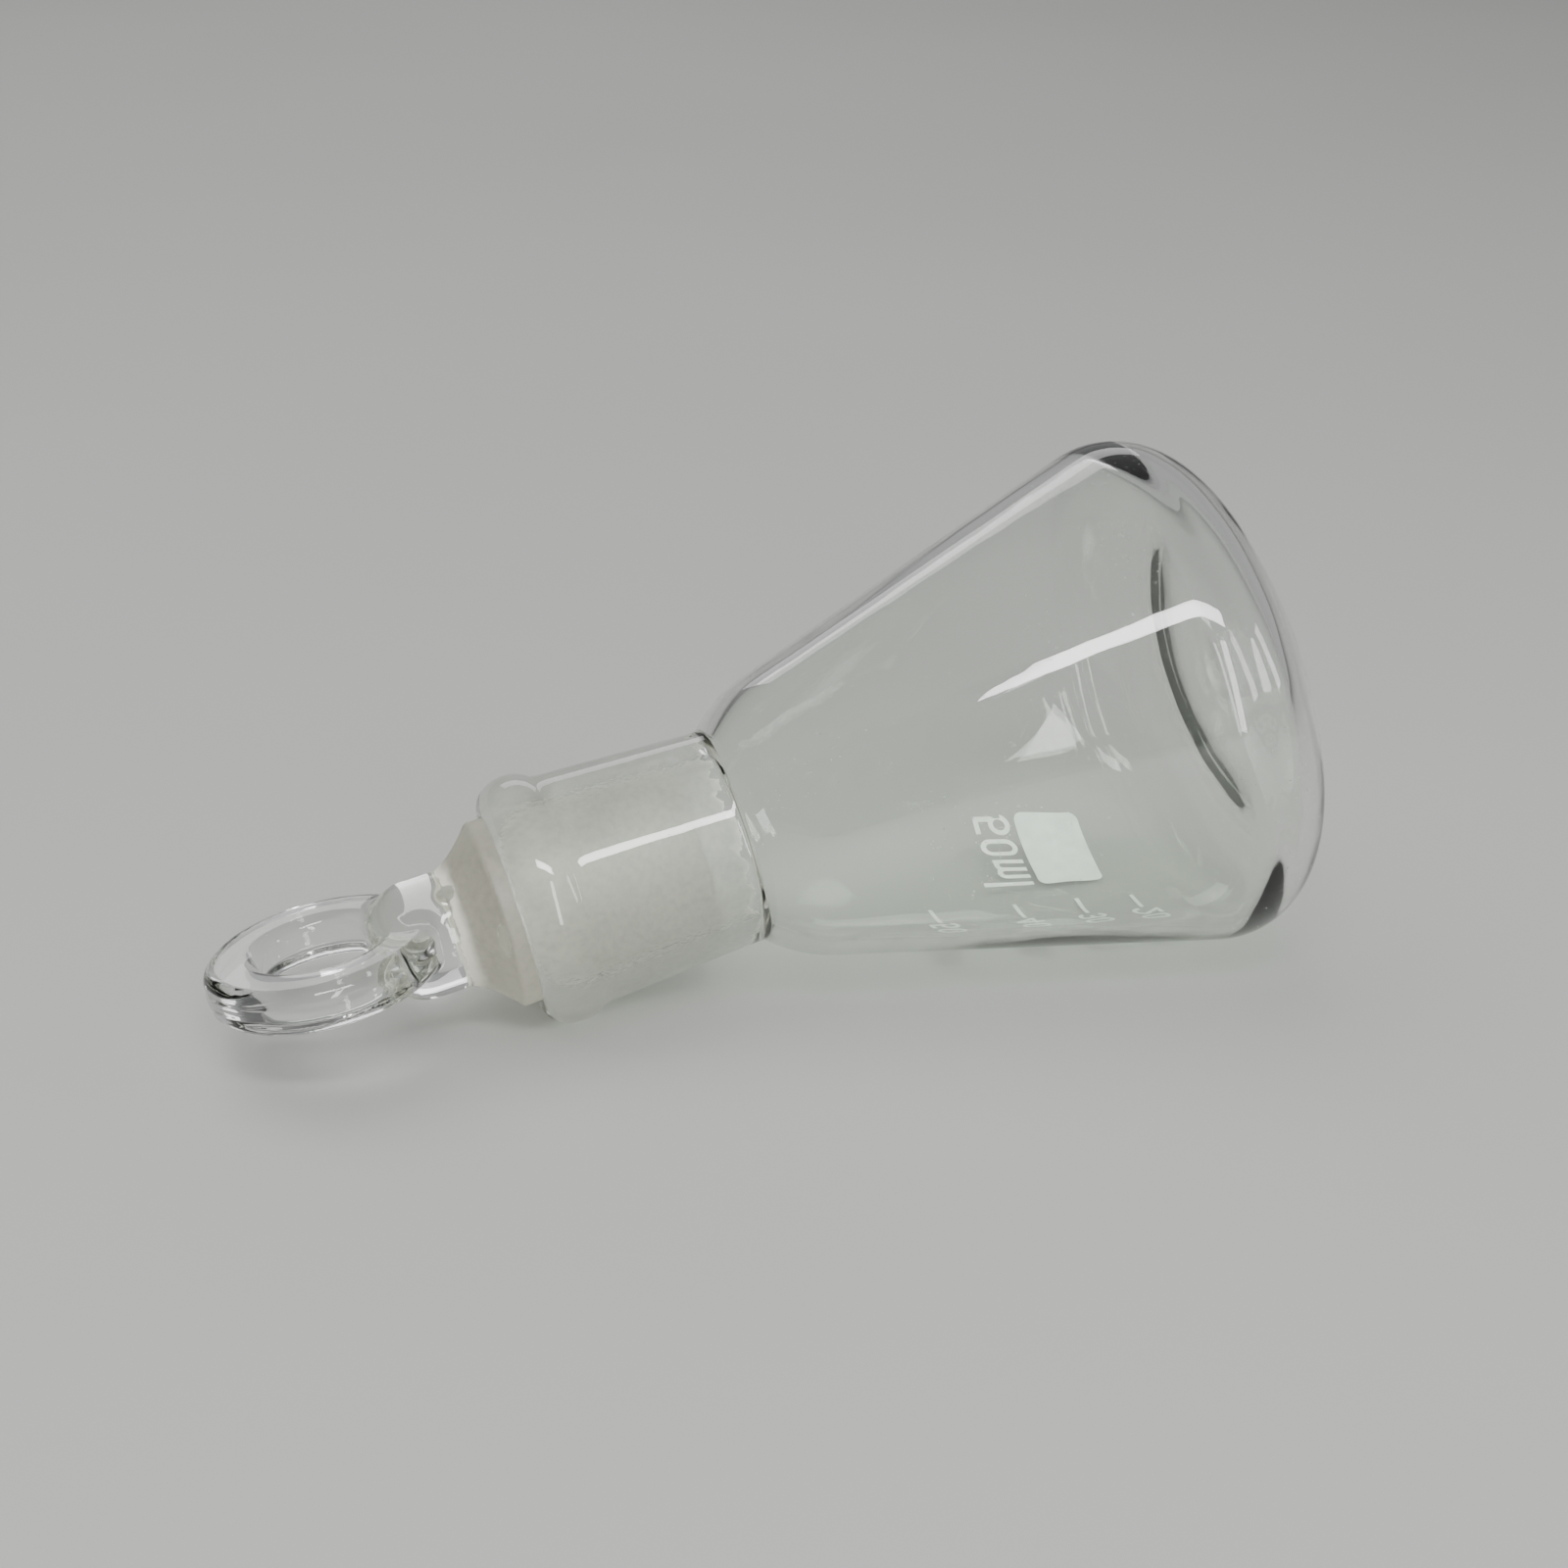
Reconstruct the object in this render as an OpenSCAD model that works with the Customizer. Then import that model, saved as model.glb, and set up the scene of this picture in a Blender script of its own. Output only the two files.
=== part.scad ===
// A small conical flask with a ground-glass stopper, standing upright on its base.
// Millimetres, +Z up along the axis of the flask, origin at the centre of the base.

/* [Body] */
// Outside diameter of the base
base_d = 52.3; // [48:0.1:56]
// Outside rounding radius between the base and the cone
heel_r = 8.1; // [6:0.1:9]
// Outside radius at the top of the straight cone
cone_top_r = 14.6; // [13.5:0.1:16]
// Height of the top of the straight cone
cone_top_z = 48.3; // [46:0.1:50]
// Height at which the body meets the neck
junction_z = 54.7; // [53.5:0.1:56]
// Outside radius of the neck where it meets the body
neck_r = 10.8; // [10.4:0.1:11.4]
// Wall thickness of the blown body
wall = 1.4; // [1:0.1:1.8]
// Height that the middle of the base is pushed up
push_up = 1.1; // [0.5:0.1:1.6]

/* [Neck] */
// Height of the rim above the base
rim_z = 77.6; // [76.5:0.1:79]
// Outside radius of the beaded rim
bead_r = 12.6; // [12.2:0.1:13.2]
// Height of the bead
bead_h = 6.8; // [5:0.1:8]
// Radial gap between the ground walls of socket and plug
ground_gap = 0.03; // [0.01:0.01:0.1]

/* [Stopper] */
// Diameter of the large end of the ground plug
plug_d = 18.8; // [18.4:0.1:19.2]
// Height of the large end of the plug, seated in the neck
plug_top_z = 79.1; // [78.5:0.1:80]
// Height of the small end of the plug
plug_low_z = 59; // [56:0.1:61]
// Radius of the clear shank
shank_r = 5.9; // [5.4:0.1:6.4]
// Height of the frosted edge where the clear shank begins
shank_z = 83.4; // [82.5:0.1:84]
// Height of the end of the shank
shank_end_z = 91; // [89:0.1:92]
// Radius of the ring handle, to the middle of its section
ring_r = 8.6; // [8.2:0.1:9.2]
// Half of the section's thickness, along the radius of the ring
ring_half_w = 2.7; // [2.2:0.1:2.9]
// Half of the section's height, across the plane of the ring
ring_half_h = 2.3; // [2.1:0.1:2.9]
// Rounding radius of the section's corners
ring_corner = 1.4; // [1:0.1:1.8]
// Height of the middle of the ring
ring_z = 96.1; // [95:0.1:97]

/* [Print] */
// Thickness of the fired enamel
enamel_t = 0.12; // [0.08:0.01:0.2]
// Height of the numerals
digit_h = 3; // [2.5:0.1:3.2]
// Width of a numeral
digit_w = 1.9; // [1.6:0.1:2]
// Width of the lines of the graduations
stroke = 0.42; // [0.3:0.02:0.5]
// Width of the lines of the capacity figure
bold = 0.54; // [0.42:0.02:0.64]

/* [Hidden] */
$fn = 96;
taper = 1 / 20;
base_r = base_d / 2;
foot_r = base_r - heel_r;
foot_w = 2;
bead_z = rim_z - bead_h / 2;
dome = 4.2;
ring_turn = 6.6;
ring_lean = -2.9;
ring_off = [1.9, 2];
grad_ml = [20, 30, 40, 50];
grad_z = [14.4, 20.3, 27, 35.9];
grad_az = [-92, -93.5, -95, -96.5];
tick_len = 3.3;
tick_gap = 0.35;
tick_turn = 12;
spot_az = -115.4;
spot_z = 18.5;
spot_size = [10.8, 7.2];
capacity_z = 24.7;
capacity_h = 4;
print_tilt = 8;

// ---- curves ----
function arc(c, r, a0, a1, n = 12) =
    [for (i = [0 : n]) let(a = a0 + (a1 - a0) * i / n) [c[0] + r * cos(a), c[1] + r * sin(a)]];
function bow(p, q, s, n = 12) =
    [for (i = [0 : n]) let(t = i / n) (1 - t) ^ 2 * p + 2 * t * (1 - t) * q + t ^ 2 * s];
function ellipse_arc(c, a, b, a0, a1, n = 16) =
    [for (i = [0 : n]) let(t = a0 + (a1 - a0) * i / n) [c[0] + a * cos(t), c[1] + b * sin(t)]];

// ---- profile of the body ----
// The angle at which the cone leaves the heel: the tangent from the top of the cone to the heel.
heel_c = [foot_r, heel_r];
reach = [cone_top_r, cone_top_z] - heel_c;
heel_end = atan2(reach[1], reach[0]) - acos(heel_r / norm(reach));
cone_n = [cos(heel_end), sin(heel_end)];
cone_low = heel_c + heel_r * cone_n;
cone_dir = ([cone_top_r, cone_top_z] - cone_low) / norm([cone_top_r, cone_top_z] - cone_low);

// Outside radius of the straight cone at height z.
function cone_r(z) =
    cone_low[0] + (cone_top_r - cone_low[0]) * (z - cone_low[1]) / (cone_top_z - cone_low[1]);
// Radius of the plug's ground wall at height z.
function plug_r(z) = plug_d / 2 - (plug_top_z - z) * taper;
// Radius of the socket's ground wall at height z.
function socket_r(z) = plug_r(z) + ground_gap;

cone_top = [cone_top_r, cone_top_z];
shoulder_q = cone_top + cone_dir * 3.9;

function body_outside() = concat(
    [[0, push_up]],
    bow([foot_r - foot_w, 0] * 0.35 + [0, push_up * 0.8], [foot_r - foot_w - 4, 0],
        [foot_r - foot_w, 0]),
    arc(heel_c, heel_r, -90, heel_end, 20),
    bow(cone_top, shoulder_q, [neck_r, junction_z]));
function body_inside() = concat(
    [[0, push_up + wall * 1.3]],
    [[foot_r * 0.4, push_up * 0.8 + wall * 1.3]],
    arc(heel_c, heel_r - wall, -90, heel_end, 20),
    bow(cone_top - wall * cone_n, shoulder_q - 1.2 * wall * cone_n,
        [socket_r(junction_z), junction_z]));
function backwards(list) = [for (i = [len(list) - 1 : -1 : 0]) list[i]];

module flask_body() color([0.8, 0.9, 0.86, 0.4])
    rotate_extrude() polygon(concat(body_outside(), backwards(body_inside())));

// ---- neck ----
// A bead runs round the mouth; its outline is one oval that runs into the neck.
bead_a = bead_r - socket_r(rim_z) - 0.5;
bead_c = [bead_r - bead_a, bead_z];
function neck_wall_r(z) = neck_r + (z - junction_z) * taper;

module neck_socket() color([0.86, 0.87, 0.84, 0.7])
    rotate_extrude()
        polygon(concat(
            [[socket_r(junction_z), junction_z], [neck_r, junction_z],
             [neck_wall_r(bead_z - bead_h * 0.46), bead_z - bead_h * 0.46]],
            ellipse_arc(bead_c, bead_a, bead_h / 2, -48, 90, 20),
            [[socket_r(rim_z), rim_z - 0.4]]));

// ---- stopper ----
shoulder_low = [plug_d / 2 - 0.25, plug_top_z + 0.3];

module stopper_plug() color([0.84, 0.84, 0.8])
    rotate_extrude()
        polygon(concat(
            [[0, plug_low_z], [plug_r(plug_low_z) - 0.6, plug_low_z],
             [plug_r(plug_low_z + 0.6), plug_low_z + 0.6], [plug_d / 2, plug_top_z]],
            bow(shoulder_low, [shank_r + 0.3, shank_z - 1.4], [shank_r, shank_z]),
            [[0, shank_z]]));

module shank() {
    rotate_extrude()
        polygon(concat([[0, shank_z]],
            [[shank_r, shank_z]],
            ellipse_arc([shank_r - dome, shank_end_z - dome], dome, dome, 0, 90),
            [[0, shank_end_z]]));
}

module stopper_shank() color([0.86, 0.93, 0.9, 0.5]) shank();

// A rectangle with rounded corners.
module ring_section() {
    flat_w = ring_half_w - ring_corner;
    flat_h = ring_half_h - ring_corner;
    translate([ring_r, 0]) {
        for (sx = [-1, 1], sy = [-1, 1])
            translate([sx * flat_w, sy * flat_h]) circle(ring_corner);
        square(2 * [ring_half_w, flat_h], center = true);
        square(2 * [flat_w, ring_half_h], center = true);
    }
}

module ring_handle() color([0.86, 0.93, 0.9, 0.5])
    difference() {
        translate([ring_off[0], ring_off[1], ring_z])
            rotate([90 + ring_lean, 0, ring_turn]) rotate_extrude() ring_section();
        shank();
    }

// ---- enamel print ----
// A thin skin on the cone, cut to the painted shape. The shape is drawn upright, as it is
// read from outside, round azimuth az, with its origin at height z.
module on_cone(az, z, half_h) {
    low = z - half_h;
    high = z + half_h;
    intersection() {
        rotate_extrude()
            polygon([[cone_r(low), low], [cone_r(low) + enamel_t, low],
                [cone_r(high) + enamel_t, high], [cone_r(high), high]]);
        rotate([0, 0, az + 90]) translate([0, -cone_r(z) * 0.8, z]) rotate([90, 0, 0])
            linear_extrude(base_r) children();
    }
}

module bar(x, y, w, h) translate([x, y]) square([w, h]);

module slant(p, q, t) {
    d = q - p;
    translate(p) rotate(atan2(d[1], d[0])) translate([0, -t / 2]) square([norm(d), t]);
}

module hoop(c, r, t) translate(c) difference() {
    circle(r);
    circle(r - t);
}

// Numerals and letters, each from its lower left corner, w wide, h high, t thick.
module zero(w, h, t) difference() {
    union() {
        for (y = [w / 2, h - w / 2]) translate([w / 2, y]) circle(w / 2);
        bar(0, w / 2, w, h - w);
    }
    for (y = [w / 2, h - w / 2]) translate([w / 2, y]) circle(w / 2 - t);
    bar(t, w / 2, w - 2 * t, h - w);
}

module two(w, h, t) {
    difference() {
        hoop([w / 2, h - w / 2], w / 2, t);
        bar(-w, h - w * 1.2, w * 1.5, w * 0.7);
    }
    slant([t * 0.5, t * 0.6], [w - t * 0.55, h - w * 0.62], t);
    bar(0, 0, w, t);
}

module three(w, h, t) {
    r = (h + t) / 4;
    difference() {
        union() {
            hoop([w - r, r], r, t);
            hoop([w - r, h - r], r, t);
        }
        bar(-w, r * 0.8, 2 * w - r, h - r * 1.6);
    }
    bar(w - r - t * 0.8, h / 2 - t / 2, t, t);
}

module four(w, h, t) {
    bar(w * 0.62, 0, t, h);
    bar(0, h * 0.24, w, t);
    slant([t * 0.3, h * 0.24 + t * 0.5], [w * 0.62 + t * 0.5, h - t * 0.3], t);
}

module five(w, h, t) {
    r = w / 2;
    difference() {
        hoop([r, r], r, t);
        bar(-w, r * 0.72, w * 1.2, r * 0.95);
    }
    bar(w * 0.12, h - t, w * 0.82, t);
    bar(w * 0.12, r * 1.55, t, h - r * 1.55);
    slant([w * 0.12, r * 1.62], [r + t * 0.1, 2 * r - t * 0.45], t);
}

module letter_m(w, h, t) {
    r = (w / 2 + t / 2) / 2;
    bar(0, 0, t, h);
    for (i = [0, 1]) translate([i * (w / 2 - t / 2), 0]) {
        intersection() {
            hoop([r, h - r], r, t);
            bar(0, h - r, 2 * r, r);
        }
        bar(2 * r - t, 0, t, h - r);
    }
}

module tens(n) {
    if (n == 20) two(digit_w, digit_h, stroke);
    if (n == 30) three(digit_w, digit_h, stroke);
    if (n == 40) four(digit_w, digit_h, stroke);
    if (n == 50) five(digit_w, digit_h, stroke);
}

module graduation(i) color([0.93, 0.94, 0.91]) {
    z = grad_z[i];
    on_cone(grad_az[i] + tick_turn, z, digit_h * 0.7) {
        tick_x = -cone_r(z) * sin(tick_turn);
        bar(tick_x, -stroke / 2, tick_len, stroke);
        translate([tick_x + tick_len + tick_gap, -digit_h / 2]) {
            tens(grad_ml[i]);
            translate([digit_w + 0.6, 0]) zero(digit_w, digit_h, stroke);
        }
    }
}

module graduation_20() graduation(0);
module graduation_30() graduation(1);
module graduation_40() graduation(2);
module graduation_50() graduation(3);

module capacity_mark() color([0.93, 0.94, 0.91])
    on_cone(spot_az, capacity_z, capacity_h * 1.15) {
        w = capacity_h * 0.6;
        sideways = (spot_z - capacity_z) * tan(print_tilt);
        translate([sideways, 0]) rotate(print_tilt)
            translate([0.2 - spot_size[0] / 2, -capacity_h / 2]) {
                five(w, capacity_h, bold);
                translate([w + 0.6, 0]) zero(w, capacity_h, bold);
                translate([2 * w + 1.4, 0]) letter_m(w * 1.3, capacity_h * 0.85, bold);
                bar(3.3 * w + 2.1, 0, bold, capacity_h * 1.35);
            }
    }

module marking_spot() color([0.9, 0.92, 0.9])
    on_cone(spot_az, spot_z, spot_size[1] * 0.7)
        rotate(print_tilt) difference() {
            translate(-spot_size / 2) square(spot_size);
            for (sx = [-1, 1], sy = [-1, 1]) {
                corner = [sx * (spot_size[0] / 2 - 1), sy * (spot_size[1] / 2 - 1)];
                difference() {
                    translate(corner + [sx, sy]) square(2, center = true);
                    translate(corner) circle(1);
                }
            }
        }

flask_body();
neck_socket();
marking_spot();
capacity_mark();
graduation_20();
graduation_30();
graduation_40();
graduation_50();
stopper_plug();
stopper_shank();
ring_handle();
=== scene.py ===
import math

import bpy
import numpy as np
from mathutils import Matrix, Vector


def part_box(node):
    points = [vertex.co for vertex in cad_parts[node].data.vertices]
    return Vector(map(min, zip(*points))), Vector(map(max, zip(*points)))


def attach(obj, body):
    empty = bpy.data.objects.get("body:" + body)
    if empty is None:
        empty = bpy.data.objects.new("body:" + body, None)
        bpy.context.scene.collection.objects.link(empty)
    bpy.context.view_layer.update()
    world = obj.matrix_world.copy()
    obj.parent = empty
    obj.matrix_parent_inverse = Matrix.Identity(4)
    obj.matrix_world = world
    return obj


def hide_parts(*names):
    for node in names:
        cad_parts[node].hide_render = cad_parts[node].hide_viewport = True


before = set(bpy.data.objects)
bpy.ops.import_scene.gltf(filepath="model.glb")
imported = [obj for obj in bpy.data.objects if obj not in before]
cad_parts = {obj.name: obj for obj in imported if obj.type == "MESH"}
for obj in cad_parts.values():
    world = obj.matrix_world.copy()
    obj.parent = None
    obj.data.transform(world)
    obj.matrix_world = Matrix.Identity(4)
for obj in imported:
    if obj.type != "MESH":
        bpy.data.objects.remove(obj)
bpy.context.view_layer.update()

MM = 0.001

# ---- places read from the frame ----
BODY_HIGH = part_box("flask_body")[1]
NECK_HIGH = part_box("neck_socket")[1]
PLUG_LOW, PLUG_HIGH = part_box("stopper_plug")
SHANK_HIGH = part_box("stopper_shank")[1]
RING_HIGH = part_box("ring_handle")[1]

BASE_R = BODY_HIGH.x
JUNCTION_Z = BODY_HIGH.z
BEAD_R = NECK_HIGH.x
RIM_Z = NECK_HIGH.z
PLUG_R = PLUG_HIGH.x
PLUG_LOW_Z = PLUG_LOW.z
SHANK_R = SHANK_HIGH.x
SHANK_Z = PLUG_HIGH.z
SHANK_END_Z = SHANK_HIGH.z

# ---- sizes of the glass, in metres ----
HEEL_R = 8.1 * MM
CONE_TOP = np.array([14.6, 48.3]) * MM
SHOULDER_REACH = 3.9 * MM
NECK_R = 10.8 * MM
WALL = 1.4 * MM
HEEL_GATHER = 0.5 * MM
PUSH_UP = 1.1 * MM
FOOT_W = 2.0 * MM
PLUG_TOP_Z = 79.1 * MM
GROUND_GAP = 0.03 * MM
TAPER = 1 / 20
BEAD_H = 6.8 * MM
DOME = 4.2 * MM
RING_R = 8.6 * MM
RING_HALF_W = 2.7 * MM
RING_HALF_H = 2.3 * MM
RING_CORNER = 1.4 * MM
RING_TURN = math.radians(6.6)
RING_LEAN = math.radians(2.9)
RING_CENTRE = np.array([1.9 * MM, 2.0 * MM, RING_HIGH.z - RING_R - RING_HALF_W])
# The clear glass stands this much proud of the CAD surface, so the enamel is seated in it.
SEAT = 0.03 * MM
# Height at which the ground wall of the socket begins.
SOCKET_EDGE_Z = JUNCTION_Z + 0.9 * MM
# How far the ring and the shank run into each other where they were fused.
MELT = 1.3 * MM
# Height of the ridge that the mould left round the outside of the ring.
RIDGE = 0.08 * MM
# How far the inside of the blown body wanders.
WANDER = 0.09 * MM
# Two clear spots on the stopper's shoulder, each a place and a reach: a pit, and a bead of glass.
CLEAR_SPOTS = [((8.75 * MM, 2.0 * MM, 79.65 * MM), (0.9 * MM, 1.9 * MM, 0.5 * MM)),
               ((2.7 * MM, 5.3 * MM, 83.2 * MM), (0.9 * MM, 0.9 * MM, 1.0 * MM))]
SPOT_RISE = (-0.38 * MM, 0.4 * MM)
TURNS = 288
VOXEL = 0.16 * MM

# ---- tones ----
GLASS_TINT = (0.955, 0.975, 0.95, 1)
GLASS_SHADOW = (0.84, 0.87, 0.84)
GLASS_IOR = 1.5
DEPTH_TINT = (0.84, 0.86, 0.56, 1)
DEPTH_DENSITY = 9.0
FROST_SHADOW = (0.45, 0.45, 0.43)
# How much of the light goes through the ground glass, and through its cream-coloured edge.
FROST_CLEAR = 0.72
CREAM_CLEAR = 0.2
CREAM = (0.80, 0.78, 0.68, 1)
SOCKET_FROST = ((0.48, 0.485, 0.45, 1), (0.62, 0.625, 0.58, 1))
PLUG_FROST = ((0.43, 0.415, 0.36, 1), (0.53, 0.51, 0.44, 1))
MARK_WHITE = (0.90, 0.92, 0.90)
SPOT_WHITE = (0.84, 0.88, 0.86)
FLOOR_TONES = ((0.34, 0.34, 0.33, 1), (0.37, 0.37, 0.36, 1))

# ---- the lying pose of the photographed flask, as a floor beside the upright frame ----
REST_TILT = math.radians(11.65)
FLOOR_UP = Vector((0, math.cos(REST_TILT), -math.sin(REST_TILT)))
FLOOR_DROP = 27.4 * MM

# ---- camera ----
VIEW_TURN = math.radians(29.4)
VIEW_RISE = math.radians(12.15)
VIEW_DISTANCE = 273.6 * MM
VIEW_CENTRE = Vector((0, 0, 41 * MM))
AIM = Vector((0.4, 3.8, 48.3)) * MM
LENS = 62.96


# ---- curves ----
def oval(centre, half_w, half_h, start, stop, count=24):
    turn = np.linspace(start, stop, count)
    return np.array(centre) + np.c_[half_w * np.cos(turn), half_h * np.sin(turn)]


def bow(start, pull, stop, count=24):
    t = np.linspace(0, 1, count)[:, None]
    return (1 - t) ** 2 * np.array(start) + 2 * t * (1 - t) * np.array(pull) + t ** 2 * np.array(stop)


def line(start, stop, count):
    t = np.linspace(0, 1, count)[:, None]
    return (1 - t) * np.array(start) + t * np.array(stop)


def plug_radius(z):
    return PLUG_R - (PLUG_TOP_Z - z) * TAPER


def smooth_step(x, low, high):
    t = np.clip((x - low) / (high - low), 0, 1)
    return t * t * (3 - 2 * t)


# ---- meshes ----
def make_object(name, verts, faces, materials):
    mesh = bpy.data.meshes.new(name)
    mesh.from_pydata([tuple(v) for v in verts], [], [tuple(f) for f in faces])
    for material in materials:
        mesh.materials.append(material)
    mesh.polygons.foreach_set("use_smooth", [True] * len(mesh.polygons))
    mesh.update()
    obj = bpy.data.objects.new(name, mesh)
    bpy.context.scene.collection.objects.link(obj)
    return obj


def lathe(outline, wobble=None):
    """Turns a closed outline about Z. The outline starts and ends on the axis."""
    turn = np.linspace(0, 2 * math.pi, TURNS, endpoint=False)
    verts = [(0, 0, outline[0][1])]
    for r, z in outline[1:-1]:
        radius = np.full(TURNS, r) if wobble is None else r + wobble(r, z, turn)
        verts.extend(zip(radius * np.cos(turn), radius * np.sin(turn), np.full(TURNS, z)))
    verts.append((0, 0, outline[-1][1]))
    faces = []
    rows = len(outline) - 2
    for k in range(TURNS):
        n = (k + 1) % TURNS
        faces.append((0, 1 + n, 1 + k))
        for row in range(rows - 1):
            a = 1 + row * TURNS
            b = a + TURNS
            faces.append((a + k, a + n, b + n, b + k))
        last = 1 + (rows - 1) * TURNS
        faces.append((last + k, last + n, len(verts) - 1))
    return verts, faces


# ---- materials ----
def add(tree, kind, inputs=None, **settings):
    node = tree.nodes.new("ShaderNode" + kind)
    for key, value in settings.items():
        setattr(node, key, value)
    for key, value in (inputs or {}).items():
        if isinstance(value, bpy.types.NodeSocket):
            tree.links.new(value, node.inputs[key])
        else:
            node.inputs[key].default_value = value
    return node


def new_material(name):
    material = bpy.data.materials.new(name)
    material.use_nodes = True
    tree = material.node_tree
    tree.nodes.clear()
    place = add(tree, "TexCoord").outputs["Object"]
    return material, tree, place


def noise(tree, place, scale, detail=3.0, stretch=(1, 1, 1)):
    moved = add(tree, "Mapping", {"Vector": place, "Scale": stretch})
    return add(tree, "TexNoise", {"Vector": moved.outputs[0], "Scale": scale,
                                  "Detail": detail}).outputs["Fac"]


def span(tree, value, low, high, to_low, to_high):
    return add(tree, "MapRange", {"Value": value, "From Min": low, "From Max": high,
                                  "To Min": to_low, "To Max": to_high}).outputs[0]


def close_material(tree, shader, shadow_tint=None, depth_tint=False):
    """Ends the tree. With a shadow tint, light from the lamps passes through. With depth_tint,
    long ways through the glass turn slightly yellow-green."""
    if shadow_tint is not None:
        clear = add(tree, "BsdfTransparent", {"Color": (*shadow_tint, 1)})
        is_shadow = add(tree, "LightPath").outputs["Is Shadow Ray"]
        shader = add(tree, "MixShader", {"Fac": is_shadow, 1: shader, 2: clear.outputs[0]}).outputs[0]
    end = add(tree, "OutputMaterial", {"Surface": shader})
    if depth_tint:
        depth = add(tree, "VolumeAbsorption", {"Color": DEPTH_TINT, "Density": DEPTH_DENSITY})
        tree.links.new(depth.outputs[0], end.inputs["Volume"])


def clear_film(tree, place):
    """Roughness of fire-polished glass: a thin film of handling marks, dust and fine scratches."""
    smear = noise(tree, place, 70, 4)
    speck = noise(tree, place, 2600, 2)
    scratch = noise(tree, place, 240, 2, (1, 1, 14))
    film = add(tree, "Math", {0: span(tree, smear, 0.5, 0.75, 0.0, 0.05),
                              1: span(tree, speck, 0.68, 0.74, 0.0, 0.25)}, operation="ADD")
    return add(tree, "Math", {0: film.outputs[0],
                              1: span(tree, scratch, 0.7, 0.76, 0.0, 0.12)}, operation="ADD").outputs[0]


def frost_parts(tree, place, dark, light):
    """Glass ground with grit: its colour, roughness and relief."""
    cloud = noise(tree, place, 160, 4)
    grain = noise(tree, place, 1500, 6)
    mixed = add(tree, "MixRGB", {"Fac": 0.72, "Color1": cloud, "Color2": grain})
    tone = add(tree, "ValToRGB", {"Fac": mixed.outputs[0]})
    tone.color_ramp.elements[0].position = 0.38
    tone.color_ramp.elements[0].color = dark
    tone.color_ramp.elements[1].position = 0.62
    tone.color_ramp.elements[1].color = light
    rings = noise(tree, place, 60, 3, (0.4, 0.4, 22))
    rough = span(tree, grain, 0.35, 0.65, 0.34, 0.62)
    tooth = add(tree, "Bump", {"Strength": 0.5, "Distance": 0.05 * MM,
                               "Height": noise(tree, place, 2600, 4)})
    lines = add(tree, "Bump", {"Strength": 0.2, "Distance": 0.05 * MM, "Height": rings,
                               "Normal": tooth.outputs[0]})
    return tone.outputs[0], rough, lines.outputs[0]


def frosted(name, dark, light, mask_of, shadow_tint, depth_tint):
    """Glass that is ground where mask_of gives 1 and fire-polished where it gives 0. mask_of
    also says how far the ground glass turns cream-coloured."""
    material, tree, place = new_material(name)
    tone, rough, relief = frost_parts(tree, place, dark, light)
    frost, cream = mask_of(tree, place)
    tone = add(tree, "MixRGB", {"Fac": cream, "Color1": tone, "Color2": CREAM})
    colour = add(tree, "MixRGB", {"Fac": frost, "Color1": GLASS_TINT, "Color2": tone.outputs[0]})
    gloss = add(tree, "MapRange", {"Value": frost, "To Min": clear_film(tree, place),
                                   "To Max": rough})
    through = span(tree, cream, 0.0, 1.0, FROST_CLEAR, CREAM_CLEAR)
    through = add(tree, "MapRange", {"Value": frost, "To Min": 1.0, "To Max": through})
    wave = add(tree, "Bump", {"Strength": 0.15, "Distance": 0.3 * MM,
                              "Height": noise(tree, place, 140, 1)})
    turned = add(tree, "MixRGB", {"Fac": frost, "Color1": wave.outputs[0], "Color2": relief})
    shader = add(tree, "BsdfPrincipled", {
        "Base Color": colour.outputs[0], "Roughness": gloss.outputs[0], "IOR": GLASS_IOR,
        "Transmission Weight": through.outputs[0], "Normal": turned.outputs[0]})
    close_material(tree, shader.outputs[0], shadow_tint, depth_tint)
    return material


def uneven_height(tree, place, scale, reach):
    """Height above the base, made ragged by noise, for the edge of a ground zone."""
    height = add(tree, "SeparateXYZ", {"Vector": place}).outputs["Z"]
    ragged = span(tree, noise(tree, place, scale, 5), 0.3, 0.7, -reach, reach)
    return height, add(tree, "Math", {0: height, 1: ragged}, operation="ADD").outputs[0]


def flask_mask(tree, place):
    """Ground on the wall of the socket only: inside, from just over the body to the mouth."""
    height, edge = uneven_height(tree, place, 500, 0.9 * MM)
    frost = span(tree, edge, SOCKET_EDGE_Z - 0.06 * MM, SOCKET_EDGE_Z + 0.06 * MM, 0.0, 1.0)
    mouth = span(tree, height, RIM_Z - 0.7 * MM, RIM_Z - 0.5 * MM, 1.0, 0.0)
    frost = add(tree, "Math", {0: frost, 1: mouth}, operation="MULTIPLY").outputs[0]
    flat = add(tree, "Mapping", {"Vector": place, "Scale": (1, 1, 0)}).outputs[0]
    radius = add(tree, "VectorMath", {0: flat}, operation="LENGTH").outputs["Value"]
    wall = span(tree, height, 0, PLUG_TOP_Z, plug_radius(0), plug_radius(PLUG_TOP_Z))
    depth = add(tree, "Math", {0: radius, 1: wall}, operation="SUBTRACT").outputs[0]
    inside = span(tree, depth, 0.25 * MM, 0.35 * MM, 1.0, 0.0)
    frost = add(tree, "Math", {0: frost, 1: inside}, operation="MULTIPLY").outputs[0]
    return frost, span(tree, edge, SOCKET_EDGE_Z, SOCKET_EDGE_Z + 0.5 * MM, 0.5, 0.0)


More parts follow.
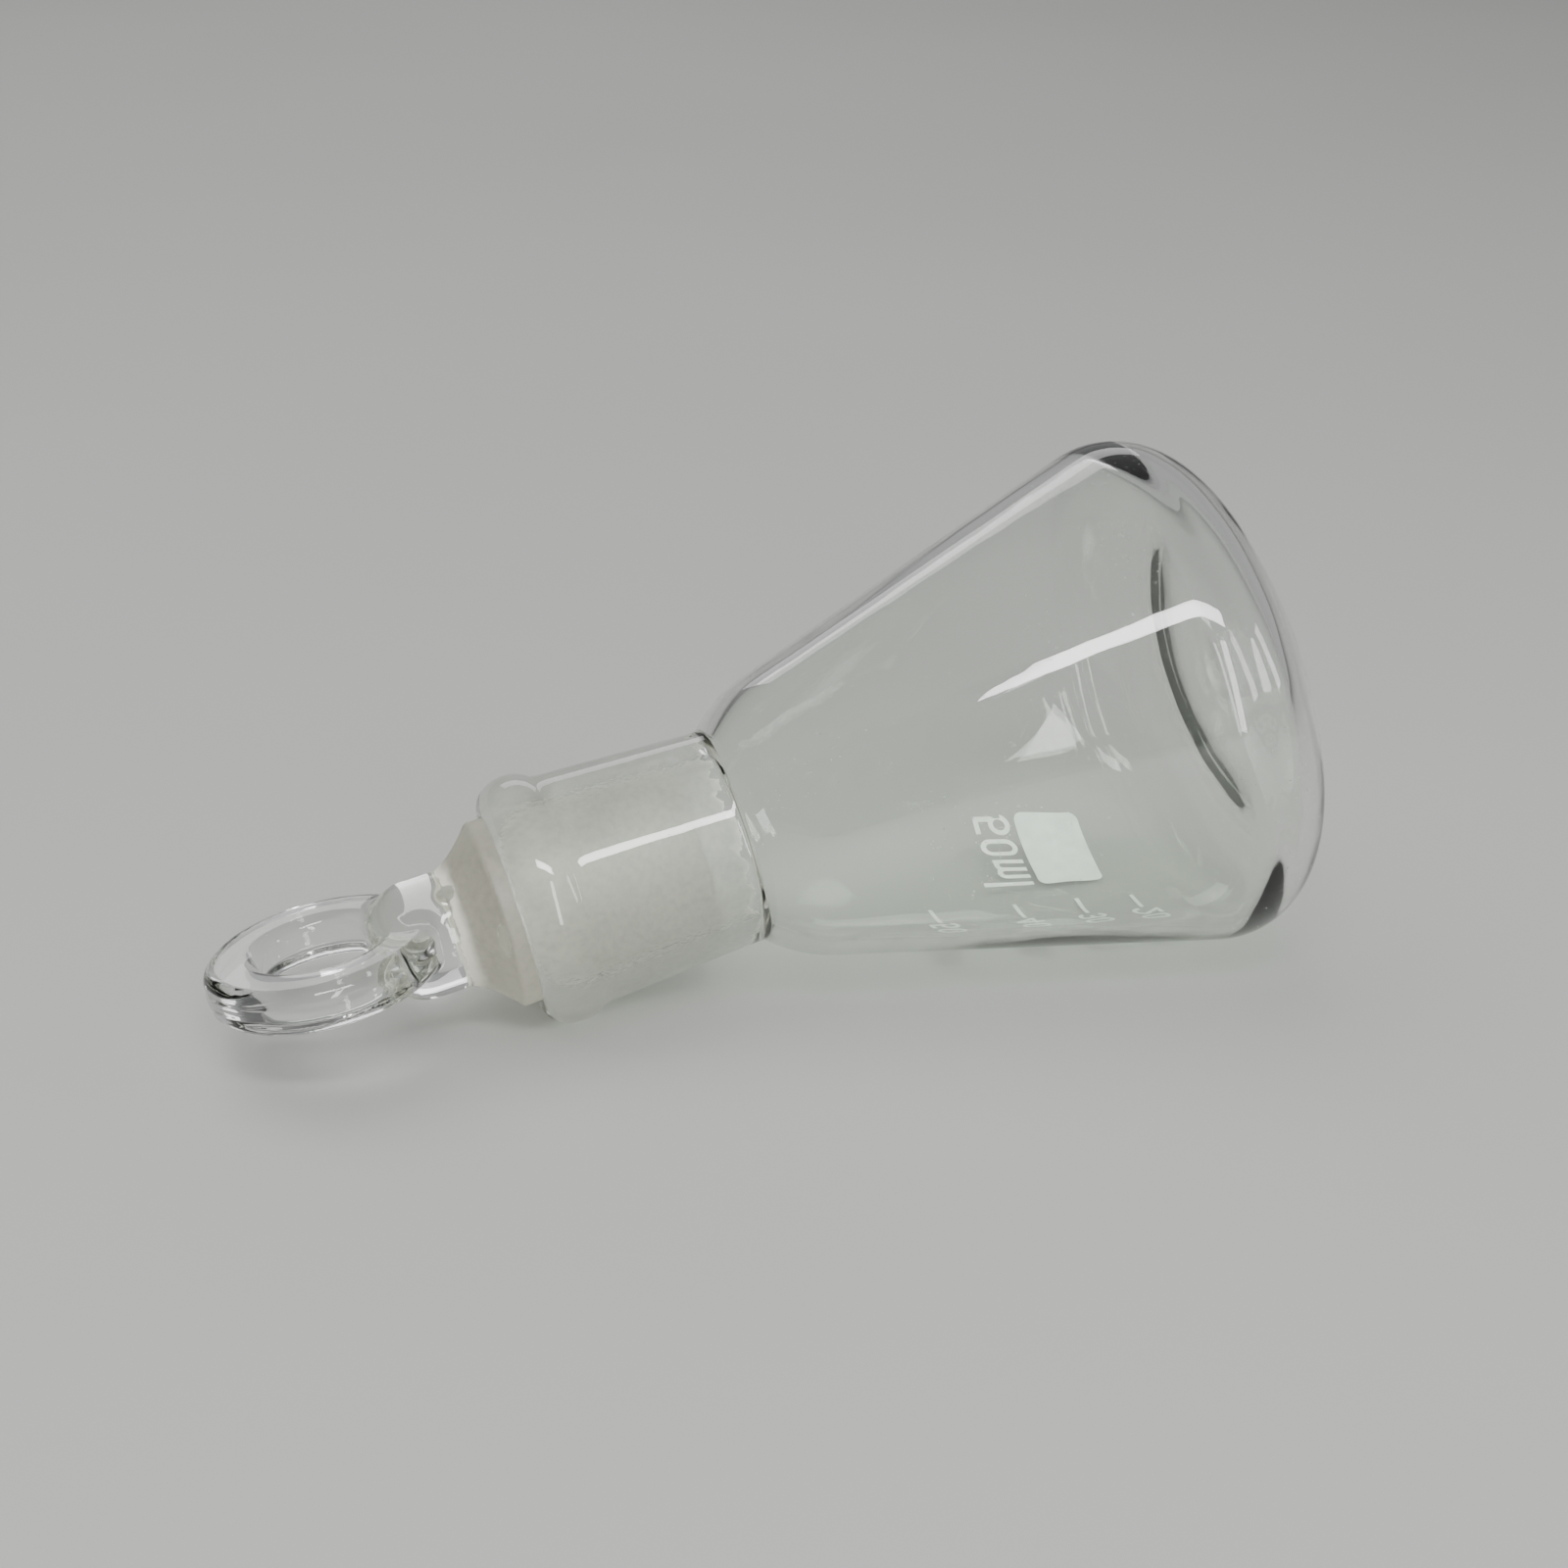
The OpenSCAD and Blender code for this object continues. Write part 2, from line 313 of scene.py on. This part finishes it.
def stopper_mask(tree, place):
    """Ground on the plug and its shoulder, clear on the shank and ring. Two small spots on the
    shoulder were missed by the grit."""
    height, edge = uneven_height(tree, place, 260, 0.35 * MM)
    frost = span(tree, edge, SHANK_Z - 0.12 * MM, SHANK_Z + 0.12 * MM, 1.0, 0.0)
    under = span(tree, height, PLUG_LOW_Z + 0.2 * MM, PLUG_LOW_Z + 0.4 * MM, 0.0, 1.0)
    frost = add(tree, "Math", {0: frost, 1: under}, operation="MULTIPLY").outputs[0]
    for centre, reach in CLEAR_SPOTS:
        hole = spot_mask(tree, place, centre, reach)
        frost = add(tree, "Math", {0: frost, 1: hole}, operation="SUBTRACT", use_clamp=True).outputs[0]
    return frost, span(tree, edge, SHANK_Z - 1.3 * MM, SHANK_Z - 0.5 * MM, 0.0, 0.85)


def spot_mask(tree, place, centre, reach):
    """1 inside an oval blob round a point, 0 outside, with a soft edge."""
    moved = add(tree, "Mapping", {"Vector": place, "Location": centre, "Scale": reach},
                vector_type="TEXTURE")
    far = add(tree, "VectorMath", {0: moved.outputs[0]}, operation="LENGTH").outputs["Value"]
    return span(tree, far, 0.9, 1.1, 1.0, 0.0)


def enamel(name, colour):
    """Fired white enamel: slightly uneven in thickness, with a soft gloss."""
    material, tree, place = new_material(name)
    patch = noise(tree, place, 420, 4)
    tone = add(tree, "ValToRGB", {"Fac": patch})
    tone.color_ramp.elements[0].position = 0.35
    tone.color_ramp.elements[0].color = (*[0.86 * c for c in colour], 1)
    tone.color_ramp.elements[1].position = 0.65
    tone.color_ramp.elements[1].color = (*colour, 1)
    bump = add(tree, "Bump", {"Strength": 0.3, "Distance": 0.03 * MM,
                              "Height": noise(tree, place, 1800, 3)})
    shader = add(tree, "BsdfPrincipled", {
        "Base Color": tone.outputs[0], "Roughness": span(tree, patch, 0.3, 0.7, 0.32, 0.5),
        "Normal": bump.outputs[0]})
    close_material(tree, shader.outputs[0])
    return material


def floor_material(name):
    """A plain pale sheet. It shows only from the side that the flask lies on, and lets the
    light of the lamps through from both sides."""
    material, tree, place = new_material(name)
    tone = add(tree, "ValToRGB", {"Fac": noise(tree, place, 6, 2)})
    tone.color_ramp.elements[0].color = FLOOR_TONES[0]
    tone.color_ramp.elements[1].color = FLOOR_TONES[1]
    sheet = add(tree, "BsdfPrincipled", {"Base Color": tone.outputs[0], "Roughness": 0.85})
    clear = add(tree, "BsdfTransparent")
    back = add(tree, "NewGeometry").outputs["Backfacing"]
    lamp = add(tree, "LightPath").outputs["Is Shadow Ray"]
    open_way = add(tree, "Math", {0: back, 1: lamp}, operation="MAXIMUM").outputs[0]
    add(tree, "OutputMaterial", {"Surface": add(tree, "MixShader", {
        "Fac": open_way, 1: sheet.outputs[0], 2: clear.outputs[0]}).outputs[0]})
    return material


# ---- the flask: body and neck as one piece of glass ----
def body_curves(inset, heel_extra=0):
    """The cone's side from the base to the junction, moved in by inset. The heel is moved in
    by heel_extra more, where the glass gathered as it was blown."""
    heel = np.array([BASE_R - HEEL_R, HEEL_R])
    reach = CONE_TOP - heel
    leave = math.atan2(reach[1], reach[0]) - math.acos(HEEL_R / np.linalg.norm(reach))
    out = np.array([math.cos(leave), math.sin(leave)])
    along = np.array([-out[1], out[0]])
    turn = np.linspace(-math.pi / 2, leave, 40)
    gather = heel_extra * (1 - smooth_step(turn, 0.3 * leave - 0.4, leave))
    side = heel + (HEEL_R - inset - gather)[:, None] * np.c_[np.cos(turn), np.sin(turn)]
    top = CONE_TOP - inset * out
    cone = line(side[-1], top, 40)[1:-1]
    return side, cone, top, CONE_TOP + along * SHOULDER_REACH - 1.1 * inset * out


def flask_outline():
    """The closed outline, from the middle of the underside round the outside to the inside."""
    side, cone, top, pull = body_curves(-SEAT)
    foot = side[0][0] - FOOT_W
    under = bow((0, PUSH_UP), (0.55 * foot, PUSH_UP), (foot, 0), 14)
    shoulder = bow(top, pull, (NECK_R, JUNCTION_Z), 24)
    bead_z = RIM_Z - BEAD_H / 2
    bead_a = BEAD_R - plug_radius(RIM_Z) - 0.5 * MM
    neck_top = bead_z - 0.47 * BEAD_H
    neck = line((NECK_R, JUNCTION_Z), (NECK_R + (neck_top - JUNCTION_Z) * TAPER, neck_top), 24)
    bead = oval((BEAD_R - bead_a, bead_z), bead_a, BEAD_H / 2, math.radians(-46), math.pi / 2, 30)
    mouth = bow(bead[-1], (plug_radius(RIM_Z) + 0.1 * MM, RIM_Z),
                (plug_radius(RIM_Z - 0.8 * MM) + GROUND_GAP, RIM_Z - 0.8 * MM), 8)
    outside = np.vstack([under, side[1:], cone, shoulder, neck[1:], bead, mouth[1:]])
    inner_low = (plug_radius(JUNCTION_Z) + GROUND_GAP, JUNCTION_Z)
    socket = line(mouth[-1], inner_low, 50)[1:]
    in_side, in_cone, in_top, in_pull = body_curves(WALL, HEEL_GATHER)
    in_shoulder = bow(in_top, in_pull, inner_low, 24)[::-1]
    in_floor = bow(in_side[0], (0.55 * foot, in_side[0][1]), (0, PUSH_UP + 1.3 * WALL), 14)
    inside = np.vstack([in_shoulder[1:], in_cone[::-1], in_side[::-1], in_floor[1:]])
    return np.vstack([outside, socket, inside])


def hand_blown(r, z, turn):
    """Uneven thickness: the inside of the body wanders by some hundredths of a millimetre."""
    inside = r < flask_outer_radius(z) - 0.6 * WALL
    if not inside or z > JUNCTION_Z - 1 * MM or z < 4 * MM:
        return 0
    fade = smooth_step(z, 4 * MM, 9 * MM) * (1 - smooth_step(z, JUNCTION_Z - 9 * MM, JUNCTION_Z))
    wave = 0.5 * np.sin(2 * turn + 0.6 + z / (14 * MM)) + 0.3 * np.sin(5 * turn + z / (6 * MM))
    return WANDER * fade * (wave + 0.2 * np.sin(11 * turn - z / (9 * MM)))


def flask_outer_radius(z):
    side, cone, top, pull = body_curves(0)
    curve = np.vstack([side, cone, bow(top, pull, (NECK_R, JUNCTION_Z))])
    return np.interp(z, curve[:, 1], curve[:, 0])


def build_flask(material):
    verts, faces = lathe(flask_outline(), hand_blown)
    flask = make_object("flask_glass", verts, faces, [material])
    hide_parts("flask_body", "neck_socket")
    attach(flask, "flask")


# ---- the stopper: plug, shank and ring as one piece of glass ----
def stopper_outline():
    low = (plug_radius(PLUG_LOW_Z) - 0.6 * MM, PLUG_LOW_Z)
    low_edge = bow(low, (plug_radius(PLUG_LOW_Z), PLUG_LOW_Z),
                   (plug_radius(PLUG_LOW_Z + 0.7 * MM), PLUG_LOW_Z + 0.7 * MM), 8)
    wall_top = (plug_radius(PLUG_TOP_Z - 0.3 * MM), PLUG_TOP_Z - 0.3 * MM)
    edge = bow(wall_top, (PLUG_R, PLUG_TOP_Z + 0.1 * MM),
               (PLUG_R - 0.45 * MM, PLUG_TOP_Z + 0.4 * MM), 8)
    shoulder = bow(edge[-1], (SHANK_R + 0.3 * MM, SHANK_Z - 1.4 * MM), (SHANK_R, SHANK_Z), 30)
    dome = oval((SHANK_R - DOME, SHANK_END_Z - DOME), DOME, DOME, 0, math.pi / 2, 24)
    return np.vstack([[(0, PLUG_LOW_Z)], low_edge, edge, shoulder[1:], dome,
                      [(0, SHANK_END_Z)]])


def lathe_distance(points, outline):
    """Signed distance from points to the turned outline, negative inside."""
    flat = np.c_[np.hypot(points[:, 0], points[:, 1]), points[:, 2]]
    best = np.full(len(flat), 1e9)
    crossings = np.zeros(len(flat), int)
    for a, b in zip(outline[:-1], outline[1:]):
        edge = b - a
        t = np.clip(((flat - a) @ edge) / (edge @ edge), 0, 1)
        best = np.minimum(best, np.linalg.norm(flat - a - t[:, None] * edge, axis=1))
        if a[1] != b[1]:
            spans = (a[1] > flat[:, 1]) != (b[1] > flat[:, 1])
            cut = a[0] + (flat[:, 1] - a[1]) * edge[0] / edge[1]
            crossings += spans & (flat[:, 0] < cut)
    return np.where(crossings % 2 == 1, -best, best)


def ring_axes():
    """The ring's own directions: along its plane, across it, and up."""
    along = np.array([math.cos(RING_TURN), math.sin(RING_TURN), 0])
    flat = np.array([-math.sin(RING_TURN), math.cos(RING_TURN), 0])
    across = flat * math.cos(RING_LEAN) - np.array([0, 0, math.sin(RING_LEAN)])
    return along, across, np.cross(along, across)


def ring_distance(points):
    """Signed distance to the ring, with the ridge that its mould left round the outside."""
    x, y, z = (ring_axes() @ (points - RING_CENTRE).T)
    turn = np.arctan2(z, x)
    slack = 0.07 * MM * np.sin(2 * turn + 1) + 0.05 * MM * np.sin(5 * turn)
    out = np.hypot(x, z) - RING_R
    side = np.maximum(np.abs(out) - (RING_HALF_W - RING_CORNER) - slack, 0)
    top = np.maximum(np.abs(y) - (RING_HALF_H - RING_CORNER), 0)
    distance = np.hypot(side, top) - RING_CORNER
    ridge_y = 0.16 * MM * np.sin(3 * turn) + 0.03 * MM * np.sin(13 * turn)
    ridge = np.exp(-((y - ridge_y) / (0.42 * MM)) ** 2) * smooth_step(out, 0, 0.5 * RING_HALF_W)
    ridge = ridge * smooth_step(points[:, 2], SHANK_END_Z - 1 * MM, SHANK_END_Z + 3 * MM)
    return distance - RIDGE * ridge


def stopper_distance(points, outline):
    """The ring melted into the shank: a smooth union of the two."""
    a = lathe_distance(points, outline)
    b = ring_distance(points)
    h = np.maximum(MELT - np.abs(a - b), 0) / MELT
    distance = np.minimum(a, b) - h * h * MELT / 4
    for (centre, reach), rise in zip(CLEAR_SPOTS, SPOT_RISE):
        far = ((points - centre) / reach) ** 2
        distance -= rise * np.exp(-1.6 * far.sum(1))
    return distance


def settle(points, distance, steps=5):
    """Moves points onto the surface where distance is zero."""
    probe = 0.01 * MM
    for _ in range(steps):
        d = distance(points)
        slope = np.stack([(distance(points + probe * axis) - d) / probe for axis in np.eye(3)], axis=1)
        slope /= np.maximum((slope ** 2).sum(1), 0.05)[:, None]
        points = points - np.clip(d, -VOXEL, VOXEL)[:, None] * slope
    return points


def ring_shell():
    """A plain ring with an oval section, the start for the ring's own surface."""
    along, across, up = ring_axes()
    verts, faces = [], []
    turns, sides = 96, 32
    for i in range(turns):
        t = 2 * math.pi * i / turns
        radial = along * math.cos(t) + up * math.sin(t)
        for k in range(sides):
            s = 2 * math.pi * k / sides
            point = RING_CENTRE + radial * (RING_R + RING_HALF_W * math.cos(s))
            verts.append(tuple(point + across * RING_HALF_H * math.sin(s)))
            j, l = (i + 1) % turns, (k + 1) % sides
            faces.append((i * sides + k, j * sides + k, j * sides + l, i * sides + l))
    return verts, faces


def build_stopper(material):
    outline = stopper_outline()
    plug_verts, plug_faces = lathe(outline)
    ring_verts, ring_faces = ring_shell()
    start = len(plug_verts)
    faces = plug_faces + [tuple(start + i for i in f) for f in ring_faces]
    rough = make_object("rough_stopper", plug_verts + ring_verts, faces, [])
    remesh = rough.modifiers.new("remesh", "REMESH")
    remesh.mode = "VOXEL"
    remesh.voxel_size = VOXEL
    made = rough.evaluated_get(bpy.context.evaluated_depsgraph_get()).to_mesh()
    points = np.empty(len(made.vertices) * 3)
    made.vertices.foreach_get("co", points)
    faces = [tuple(p.vertices) for p in made.polygons]
    bpy.data.objects.remove(rough)
    points = settle(points.reshape(-1, 3), lambda p: stopper_distance(p, outline))
    stopper = make_object("stopper_glass", points, faces, [material])
    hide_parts("stopper_plug", "stopper_shank", "ring_handle")
    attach(stopper, "stopper")


# ---- enamel print: the CAD shapes, with their finish ----
def finish_print():
    mark = enamel("mark_enamel", MARK_WHITE)
    spot = enamel("spot_enamel", SPOT_WHITE)
    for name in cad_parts:
        if name.startswith("graduation") or name in ("capacity_mark", "marking_spot"):
            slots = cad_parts[name].data.materials
            slots.clear()
            slots.append(spot if name == "marking_spot" else mark)


# ---- stage, lights and camera ----
def build_floor():
    size = 3.0
    verts = [(x, y, 0) for x, y in ((-size, -size), (size, -size), (size, size), (-size, size))]
    floor = make_object("floor", verts, [(0, 1, 2, 3)], [floor_material("pale_floor")])
    floor.rotation_mode = "QUATERNION"
    floor.rotation_quaternion = FLOOR_UP.to_track_quat("Z", "Y")
    floor.location = -FLOOR_DROP * FLOOR_UP


def window_light(name, direction, distance, width, height, power):
    data = bpy.data.lights.new(name, "AREA")
    data.shape = "RECTANGLE"
    data.size = width
    data.size_y = height
    data.energy = power
    lamp = bpy.data.objects.new(name, data)
    bpy.context.scene.collection.objects.link(lamp)
    back = Vector(direction).normalized()
    side = FLOOR_UP.cross(back).normalized()
    rise = back.cross(side)
    lamp.matrix_world = Matrix((side, rise, back)).transposed().to_4x4()
    lamp.location = VIEW_CENTRE + back * distance
    lamp.visible_camera = False
    return lamp


def build_light():
    world = bpy.data.worlds.new("studio")
    world.use_nodes = True
    tree = world.node_tree
    sight = add(tree, "SeparateXYZ", {"Vector": add(tree, "TexCoord").outputs["Generated"]})
    level = span(tree, sight.outputs["Z"], -0.15, 0.35, 0.42, 0.12)
    tree.links.new(level, tree.nodes["Background"].inputs["Strength"])
    tree.nodes["Background"].inputs["Color"].default_value = (0.98, 0.99, 1, 1)
    bpy.context.scene.world = world
    window_light("main_window", (0.565, 0.805, -0.015), 0.6, 0.35, 0.075, 2.8)
    window_light("side_window", (0.93, 0.37, -0.03), 0.7, 0.09, 0.5, 2.2)
    window_light("low_window", (0.45, 0.25, -0.85), 0.6, 0.07, 0.22, 0.5)
    window_light("back_panel", (-0.93, 0.30, -0.20), 0.8, 0.5, 0.16, 0.45)
    ceiling = window_light("ceiling", (-0.25, 0.95, 0.15), 0.8, 0.8, 0.8, 6.0)
    fill = window_light("under_fill", (0.25, -0.95, 0.15), 0.6, 0.5, 0.5, 2.0)
    # These two only fill the shade, so they are kept out of reflections and of views through glass.
    for lamp in (ceiling, fill):
        lamp.visible_glossy = False
        lamp.visible_transmission = False


def build_camera():
    data = bpy.data.cameras.new("camera")
    data.lens = LENS
    data.clip_start = 0.005
    camera = bpy.data.objects.new("camera", data)
    bpy.context.scene.collection.objects.link(camera)
    level = math.cos(VIEW_RISE)
    camera.location = VIEW_CENTRE + VIEW_DISTANCE * Vector(
        (level * math.cos(VIEW_TURN), level * math.sin(VIEW_TURN), math.sin(VIEW_RISE)))
    back = (camera.location - AIM).normalized()
    right = FLOOR_UP.cross(back).normalized()
    place = camera.location.copy()
    camera.matrix_world = Matrix((right, back.cross(right), back)).transposed().to_4x4()
    camera.location = place
    bpy.context.scene.camera = camera


build_camera()
build_floor()
build_light()
build_flask(frosted("flask_glass", *SOCKET_FROST, flask_mask, GLASS_SHADOW, True))
build_stopper(frosted("stopper_glass", *PLUG_FROST, stopper_mask, FROST_SHADOW, False))
finish_print()
